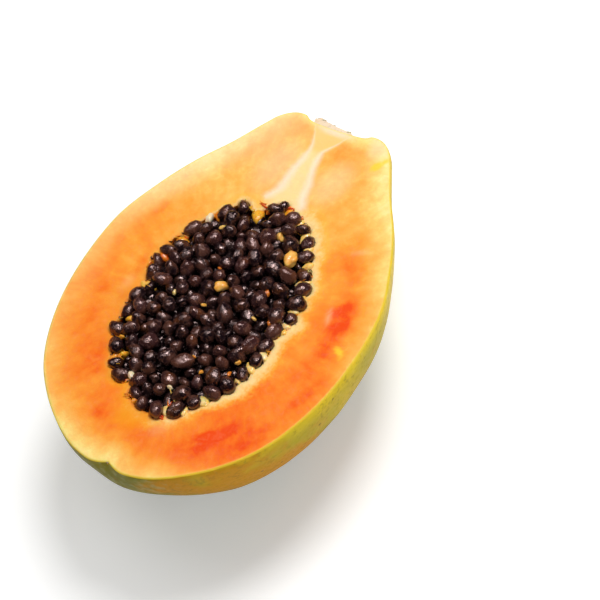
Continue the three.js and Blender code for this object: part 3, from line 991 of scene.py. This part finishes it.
def makeSeedCoat():
    # papaya seed in its shrunken jelly coat: near black, wet and glossy, wrinkled under the gloss
    # jelly thick and thin over 4 mm and amber here and there over 7 mm, wrinkles of 1.3 mm
    patterns = (("jelly", 4, 2, 0), ("amber", 7, 4, 0), ("wrinkle", 1.3, 3, 1))
    made, tree, shader, value = newMaterial("papayaSeedWetCoat", ("tone", "rise", "crown"), patterns)
    colour = layColours(tree, hexColour("#190d12"), value, [
        ("tone", 0.3, 1.0, 0.9, "#452625"),
        ("jelly", 0.46, 0.66, 0.7, "#5e3729"),
        ("wrinkle", 0.54, 0.7, 0.5, "#724a36"),
        ("amber", 0.56, 0.72, 0.4, "#7c4218"),
        ("tone", 0.9, 1.0, 0.3, "#6e442c"),
        ("crown", 0.4, -0.5, 0.8, "#0c0508"),  # painted shade: each seed is darker low down, where it nears its neighbours
        ("rise", 2.2, -1.4, 0.94, "#080306"),  # painted shade too: those that lie low are darker
    ])
    gloss = {"Value": value["jelly"], "From Min": 0.35, "From Max": 0.65, "To Min": 0.15, "To Max": 0.3}
    wrinkles = {"Height": value["wrinkle"], "Strength": 0.6, "Distance": 0.5 * mm}
    setShader(shader, {
        "Base Color": colour,
        "Normal": addNode(tree, "Bump", links=wrinkles),
        "Roughness": addNode(tree, "MapRange", links=gloss),
        "IOR": 2.05,  # stands in for the many small facets of the wet jelly
        "Specular Tint": hexColour("#ffdcd8"),
    })
    return made


softStuffs = {
    # undeveloped papaya seed: empty, waxy, cream to orange, wet
    "papayaPaleSeed": {
        "stops": [(0.1, "#f6e6d0"), (0.5, "#f8d078"), (0.85, "#f2a030"), (1.0, "#d8741c")],
        "patches": (2.5, 2.0, 0.5),  # size, detail, how much they change the tone
        "bump": 0.4,
        "shader": {
            "Roughness": 0.35,
            "IOR": 1.4,
            "Subsurface Weight": 0.3,
            "Subsurface Radius": (1.0, 0.6, 0.3),
            "Subsurface Scale": 1.0 * mm,
            "Coat Weight": 0.5,
            "Coat Roughness": 0.12,
        },
    },
    # torn ripe pulp and seed threads: wet, half clear, cream through yellow to red
    "papayaPulpWet": {
        "stops": [(0.1, "#ffe0ae"), (0.3, "#fdc868"), (0.55, "#fcb430"), (0.9, "#f27a14"), (1.0, "#dc4c0a")],
        "patches": (1.8, 3.0, 0.4),
        "bump": 0.5,
        "shader": {
            "Roughness": 0.35,
            "IOR": 1.38,
            "Subsurface Weight": 0.4,
            "Subsurface Radius": (1.0, 0.4, 0.15),
            "Subsurface Scale": 1.2 * mm,
            "Coat Weight": 0.6,
            "Coat Roughness": 0.1,
        },
    },
}


def makeSoftStuff(name):  # coloured unevenly by its tone, and light goes well into it
    stuff = softStuffs[name]
    size, detail, change = stuff["patches"]
    made, tree, shader, value = newMaterial(name, ("tone",), (("patches", size, detail, 0),))
    uneven = addNode(tree, "Math", multiplyAdd, {0: value["patches"], 1: change, 2: value["tone"]})
    colour = addNode(tree, "ValToRGB", {"stops": stuff["stops"]}, {"Fac": uneven})
    lumps = {"Height": value["patches"], "Strength": stuff["bump"], "Distance": 0.4 * mm}
    shader.subsurface_method = "RANDOM_WALK"
    setShader(
        shader, {"Base Color": colour, "Normal": addNode(tree, "Bump", links=lumps), **stuff["shader"]}
    )
    return made


def makeSeedBed():  # bed filling the hollow under the seeds, dark as the seeds and darker still from the painted shade of low places
    bpy.ops.mesh.primitive_uv_sphere_add(segments=48, ring_count=24, radius=1)
    bed = bpy.context.object
    inset, top = seedLook["bedInset"], -seedLook["bedTop"]
    lump, lumpSize = seedLook["bedLump"]
    editAll()
    long, wide = (hollow[side] + hollow["overhang"] - inset for side in ("halfLength", "halfWidth"))
    bpy.ops.transform.resize(value=(long * mm, wide * mm, (hollow["depth"] - inset) * mm))
    bpy.ops.mesh.bisect(plane_co=(0, 0, top * mm), plane_no=(0, 0, 1), clear_outer=True, use_fill=True)
    bpy.ops.mesh.select_all(action="DESELECT")
    shape = bmesh.from_edit_mesh(bed.data)
    for face in shape.faces:
        if len(face.verts) > 4:
            face.select_set(True)
    for width in seedLook["bedRings"]:
        bpy.ops.mesh.inset(thickness=width * mm)
    bpy.ops.mesh.poke()
    bpy.ops.mesh.select_all(action="SELECT")

    def toBed(co):
        x, y, z = co.x / mm, co.y / mm, co.z / mm
        turn, reach = atan2(y, x), hypot(x, y)
        limit = rimReach(turn) - inset
        if reach > limit and z > top - 14:  # down to here it follows the rim
            x, y = x * limit / reach, y * limit / reach
        rise = lump * noise.noise(Vector((x, y, z)) / lumpSize) if z > top - 1 else 0
        return Vector((centreX + x, centreY + y, z + rise)) * mm

    moveSelected(bed, toBed)
    bpy.ops.mesh.normals_make_consistent(inside=False)
    endEdit()
    paint(bed, "tone", [0.0] * len(bed.data.vertices))
    return bed


def makeSeeds():
    shapes = [makeSeedShape(i, 3, seedLook["lump"]) for i in range(seedLook["shapes"])]
    plain = [makeSeedShape(i, 2, seedLook["lump"]) for i in range(seedLook["plainShapes"])]
    ragged = [makeSeedShape(20 + i, 3, seedLook["raggedLump"]) for i in range(seedLook["raggedShapes"])]
    thread = makeThread()
    copies, pale, paleLaid = [makeSeedBed()], [], []
    for x, y, length, paleness in seedLook["pale"]:
        rise = seedLook["paleRise"][0 if length < seedLook["paleSmall"] else 1]
        at = (x, y, heapLevel(x, y) + rise)
        paleLaid.append({"at": list(at), "fixed": True, "length": seedLook["paleRoom"] * length})
        size = tuple(share * length for share in seedLook["paleShape"])
        turns = (anyTurn(), 0.5 * draw(), anyTurn())
        pale.append(copyShape(ragged[len(pale) % len(ragged)], at, size, turns, paleness))
    least, more, byLift = seedLook["looseSize"]
    for seed in laidSeeds:
        if not seed["fixed"]:
            lift = draw()
            seed["nod"] *= seedLook["looseNod"]
            seed["at"][2] += seedLook["looseSpread"] * (lift - seedLook["looseLevel"])
            seed["length"] *= vary(least, more) + byLift * lift
    crowd(laidSeeds + paleLaid, *seeds["settled"])
    soft = [spot[:3] for spot in seedLook["pale"] + bitsLook["tongues"]]
    share, margin = seedLook["sunkReach"]
    for i, seed in enumerate(laidSeeds):
        x, y, z = seed["at"]
        size = seed["length"] * seedLook["plump"]
        if any(hypot(x - px, y - py) < share * (length + margin) for px, py, length in soft):
            z -= seedLook["sunk"]
        turns = (seed["spin"], seed["nod"], anyTurn())
        copies.append(copyShape(shapes[i % len(shapes)], (x, y, z), (size, size, size), turns, draw()))
    for i in range(seedLook["fringe"]):
        turn = 2 * pi * draw()
        at = (*placeAt(turn, rimReach(turn) - seedLook["fringeInset"]), seedLook["fringeLevel"])
        long, thick = vary(*seedLook["fringeLength"]), vary(*seedLook["fringeWidth"])
        copies.append(copyShape(thread, at, (long, thick, thick), (turn + sway(2.4), -0.2, 0), 0.2))
    # a deeper layer fills the gaps between them
    pitch, stray, size = seeds["deepPitch"], seedLook["deepStray"], seeds["length"]
    rows, columns = seedLook["deepRows"]
    for row in range(-rows, rows + 1):
        for column in range(-columns, columns + 1):
            x = centreX + (column + 0.5 * (row % 2)) * pitch + sway(stray)
            y = centreY + row * pitch * 0.87 + sway(stray)
            turn, reach = turnReach(x, y)
            if reach < ovalReach(turn) - seedLook["deepInset"] * seeds["rimInset"]:
                at = (x, y, heapLevel(x, y) + seeds["deepLevel"] + sway(stray))
                turns = (anyTurn(), sway(0.8), anyTurn())
                shape = plain[(row + column) % len(plain)]
                copies.append(copyShape(shape, at, (size, size, size), turns, 0.3 * draw()))
    for shape in shapes + plain + ragged + [thread]:
        bpy.data.objects.remove(shape)
    heap, paleHeap = joinAll(copies), joinAll(pale)
    points = meshPoints(heap)
    # how high each point lies above the heap's surface, which drives the painted shade of low places
    paint(heap, "rise", points[:, 2] - heapLevel(points[:, 0], points[:, 1]))
    coatWith(heap, makeSeedCoat())
    coatWith(paleHeap, makeSoftStuff("papayaPaleSeed"))
    return heap, paleHeap


seedHeap, paleSeeds = makeSeeds()
finishPiece(seedHeap, "papaya_seed_heap", "seeds", "seed_cluster")
finishPiece(paleSeeds, "papaya_pale_seeds", "seeds")


def makeShred(torn):  # ragged lump, long in X
    bpy.ops.mesh.primitive_ico_sphere_add(subdivisions=3, radius=0.5)
    shred = bpy.context.object
    roughen(shred, "tornEdge", torn, 0.3)
    editAll()
    moveSelected(shred, lambda co: Vector((co.x, co.y * (1.1 - 0.9 * abs(co.x)), co.z * (1.0 - 0.8 * co.x))))
    endEdit()
    return shred


def makeBits():
    tongue, shred, thread = makeShred(bitsLook["tongue"]), makeShred(bitsLook["shred"]), makeThread()
    bits = []

    def place(shape, x, y, z, size, lean, nod, ripe):
        bits.append(copyShape(shape, (x, y, z), size, (lean, nod, 0), ripe))

    level, height, share = bitsLook["tongueLevel"], bitsLook["tongueHeight"], bitsLook["tongueRipeness"]
    for x, y, length, width, lean, ripe in bitsLook["tongues"]:
        place(tongue, x, y, level, (length, width, height), radians(lean), 0.05, ripe * share)
    rimSeeds = [seed["at"] for seed in laidSeeds if seed["fixed"]]
    lengths, widths, height = bitsLook["rimTongueSize"]
    for a, b in zip(rimSeeds, rimSeeds[1:] + rimSeeds[:1]):
        turn = turnReach((a[0] + b[0]) / 2, (a[1] + b[1]) / 2)[0]
        length, width, ripe = vary(*lengths), vary(*widths), 0.15 * draw()
        right = bitsLook["rightSide"][0] < degrees(turn) < bitsLook["rightSide"][1]
        often, level, least, change = bitsLook["rimTonguesRight" if right else "rimTonguesLeft"]
        if draw() < often:
            x, y = placeAt(turn, rimReach(turn) - 0.3 * length)
            lean = turn + pi + sway(0.6)
            place(tongue, x, y, level, (length, width, height), lean, 0.05, least + change * ripe)
    for x, y, length, spread, lean, ripe in bitsLook["tufts"]:
        for i in range(bitsLook["tuftThreads"]):
            turn = radians(lean) + sway(1.1)
            long, thick = length * vary(0.5, 0.6), vary(0.5, 0.7)
            startX = x + sway(spread) - 0.5 * long * cos(turn)
            startY = y + sway(spread) - 0.5 * long * sin(turn)
            z, redness = vary(-0.8, 0.7), ripe * vary(0.6, 0.3)
            place(thread, startX, startY, z, (long, thick, thick), turn, -0.1, redness)
    for i in range(bitsLook["scattered"]):
        turn = 2 * pi * draw()
        x, y = placeAt(turn, rimReach(turn) - 0.4 - 0.8 * draw())
        long, thick = vary(2.0, 2.5), vary(0.9, 0.9)
        lean = turn + sway(1.5)
        place(shred, x, y, vary(-0.9, -0.6), (long, thick, 1.3), lean, 0.3, 0.75 * draw())
    for i in range(bitsLook["threads"]):
        turn = 2 * pi * draw()
        x, y = placeAt(turn, rimReach(turn) + 0.2)
        long, thick = vary(3.0, 3.5), bitsLook["threadWidth"] * vary(0.7, 0.7)
        lean = turn + pi + sway(1.3)
        place(thread, x, y, -0.8, (long, thick, thick * 1.3), lean, vary(-0.3, -0.3), 0.75 * draw() ** 0.7)
    x, y, length, width, lean = bitsLook["stalk"]
    place(thread, x, y, 0.0, (length, width, 1.2 * width), radians(lean), -0.16, 0.15)
    for shape in (tongue, shred, thread):
        bpy.data.objects.remove(shape)
    joined = joinAll(bits)
    coatWith(joined, makeSoftStuff("papayaPulpWet"))
    return joined


finishPiece(makeBits(), "papaya_pulp_bits", "flesh")

# stem scar and blossom scar
scarLook = {
    # the stem scar: its seat, how it leans, its rings (reach, height), how crumbly, its part of the noise
    "seat": (88.2, 1.6),
    "slant": 5,
    "swing": -8,
    "rings": [
        (7.8, -2.8), (9.0, -1.8), (9.7, -0.6), (9.8, 0.4), (8.8, 1.2), (7.4, 1.6), (5.6, 1.4), (3.6, 1.5),
        (1.6, 1.3),
    ],
    "crumb": (0.7, 3.0),
    # the blossom scar
    "tipSeat": (-87.9, 1.0),
    "tipReach": 1.3,
    "tipRings": [(1, -1.0), (1.1, 0.0), (0.8, 0.5), (0.3, 0.4)],  # share of its reach, height
    "tipCrumb": (0.25, 8.0),
    "proud": -0.15,  # their cut sides lie a little below the flesh
    # crumbs on the cut edge of the stem scar: y, size, tone
    "crumbs": [(9.6, 1.0, 0.7), (7.6, 1.3, 0.6), (2.2, 0.8, 0.5), (-5.4, 1.4, 0.35)],
}


def makeDisc(rings, crumb, part, seat, turned, tone):  # corky dish, closed all round, halved by the cut
    bpy.ops.mesh.primitive_circle_add(vertices=56, radius=rings[0][0] * mm, fill_type="NGON")
    disc = bpy.context.object
    editAll()
    bpy.ops.transform.translate(value=(0, 0, rings[0][1] * mm))
    for (fromReach, fromRise), (reach, rise) in zip(rings[:-1], rings[1:]):
        bpy.ops.mesh.extrude_region_move(TRANSFORM_OT_translate={"value": (0, 0, (rise - fromRise) * mm)})
        share = reach / fromReach
        bpy.ops.transform.resize(value=(share, share, 1))
    bpy.ops.mesh.poke()
    bpy.ops.mesh.select_all(action="SELECT")

    def crumble(co):
        place = co / mm
        rough = noise.noise(place / 1.7 + Vector((part, 0, 0))) + 0.5 * noise.noise(place / 0.8)
        return co * (1 + 0.05 * rough) + Vector((0, 0, crumb * rough * mm))

    moveSelected(disc, crumble)
    bpy.ops.object.mode_set(mode="OBJECT")
    disc.data.transform(Matrix.Translation(Vector((*seat, 0)) * mm) @ turned)
    paint(disc, "tone", [tone] * len(disc.data.vertices))
    editAll()
    top = (0, 0, scarLook["proud"] * mm)
    bpy.ops.mesh.bisect(plane_co=top, plane_no=(0, 0, 1), clear_outer=True, use_fill=True)
    bpy.ops.mesh.select_all(action="SELECT")
    bpy.ops.mesh.normals_make_consistent(inside=False)
    bpy.ops.object.mode_set(mode="OBJECT")
    bpy.ops.object.shade_smooth_by_angle(angle=radians(60))
    return disc


def makeScarCork():
    # dried corky tissue where the stalk broke off: cream, crumbly, browned at its edge
    # crumbs of 1.4 mm, patches of 4 mm
    patterns = (("crumbs", 1.4, 5, 0), ("patches", 4, 2, 0))
    made, tree, shader, value = newMaterial("papayaScarCork", ("tone",), patterns)
    colour = layColours(tree, hexColour("#f2dabc"), value, [
        ("patches", 0.46, 0.66, 0.6, "#f0cc9a"),
        ("crumbs", 0.54, 0.72, 0.5, "#ceb094"),
        ("tone", 0.15, 0.35, 0.8, "#b2ae7e"),
        ("tone", 0.4, 0.8, 0.8, "#b29a86"),
    ])
    rough = {"Height": value["crumbs"], "Strength": 0.8, "Distance": 0.6 * mm}
    bump = addNode(tree, "Bump", links=rough)
    setShader(shader, {"Base Color": colour, "Normal": bump, "Roughness": 0.85, "IOR": 1.45})
    return made


def makeScars():
    seat, tip = scarLook["seat"], scarLook["tipReach"]
    swung = Matrix.Rotation(radians(scarLook["swing"]), 4, "Z")
    slanted = Matrix.Rotation(radians(90 - scarLook["slant"]), 4, "Y")
    scar = makeDisc(scarLook["rings"], *scarLook["crumb"], seat, swung @ slanted, 0.0)
    tipRings = [(tip * share, rise) for share, rise in scarLook["tipRings"]]
    flat = Matrix.Rotation(-pi / 2, 4, "Y")
    pieces = [scar, makeDisc(tipRings, *scarLook["tipCrumb"], scarLook["tipSeat"], flat, 0.9)]
    crumb = makeShred(bitsLook["shred"])
    for y, size, tone in scarLook["crumbs"]:
        at = (seat[0] + 1.3 + 0.14 * y, y, -0.7)
        pieces.append(copyShape(crumb, at, (size, size * 1.7, size), (0.6 * draw(), 0.5 * draw(), 0), tone))
    bpy.data.objects.remove(crumb)
    joined = joinAll(pieces)
    coatWith(joined, makeScarCork())
    return joined


finishPiece(makeScars(), "papaya_scars", "flesh")

# floor, light
studio = {
    "floor": 2.0,
    "floorColour": "#fafafa",
    "floorGlow": 0.24,  # lifts the shadow on the paper, seen by the camera alone
    "worldStrength": 0.3,
    "backdrop": 0.96,  # how bright the camera sees it
    "view": "Standard",
    # name, place, size, power, whether it shows in reflections
    "softboxes": [
        ("key_softbox", (0.42, -0.08, 1.08), 0.42, 7.5, True),
        ("front_softbox", (0.2, -1.1, 0.55), 0.8, 3.4, False),
        ("overhead_softbox", (0.1, 0.5, 1.6), 1.0, 4.2, True),
    ],
    "aim": (0, 0, 0.04),
}


def makeFloor():
    bpy.ops.mesh.primitive_plane_add(size=studio["floor"])
    floor = bpy.context.object
    floor.name = "studio_floor"
    # backdrop paper: matt and even, hardly any sheen
    made, tree, shader = newMaterial("paperSweepMatt")[:3]
    white = hexColour(studio["floorColour"])
    seen = addNode(tree, "LightPath").outputs["Is Camera Ray"]
    glow = addNode(tree, "Math", multiply, {0: seen, 1: studio["floorGlow"]})
    setShader(shader, {"Base Color": white, "Roughness": 0.7})
    setShader(shader, {"Emission Color": white, "Emission Strength": glow})
    floor.data.materials.append(made)


def addSoftbox(name, spot, size, power, shown):
    bpy.ops.object.light_add(type="AREA", location=spot)
    box = bpy.context.object
    box.name = name
    box.data.shape = "DISK"
    box.data.size = size
    box.data.energy = power
    box.visible_glossy = shown
    box.rotation_mode = "QUATERNION"
    box.rotation_quaternion = (Vector(studio["aim"]) - Vector(spot)).to_track_quat("-Z", "Y")


def makeWorld():
    world = bpy.context.scene.world = bpy.data.worlds.new("paleStudio")
    world.use_nodes = True
    tree = world.node_tree
    seen = addNode(tree, "LightPath").outputs["Is Camera Ray"]
    levels = {"Value": seen, "To Min": studio["worldStrength"], "To Max": studio["backdrop"]}
    strength = addNode(tree, "MapRange", links=levels)
    setShader(tree.nodes["Background"], {"Color": hexColour("#ffffff"), "Strength": strength})
    world.cycles_visibility.glossy = False


makeFloor()
for softbox in studio["softboxes"]:
    addSoftbox(*softbox)
makeWorld()
bpy.context.scene.view_settings.view_transform = studio["view"]
print("floor and light set")
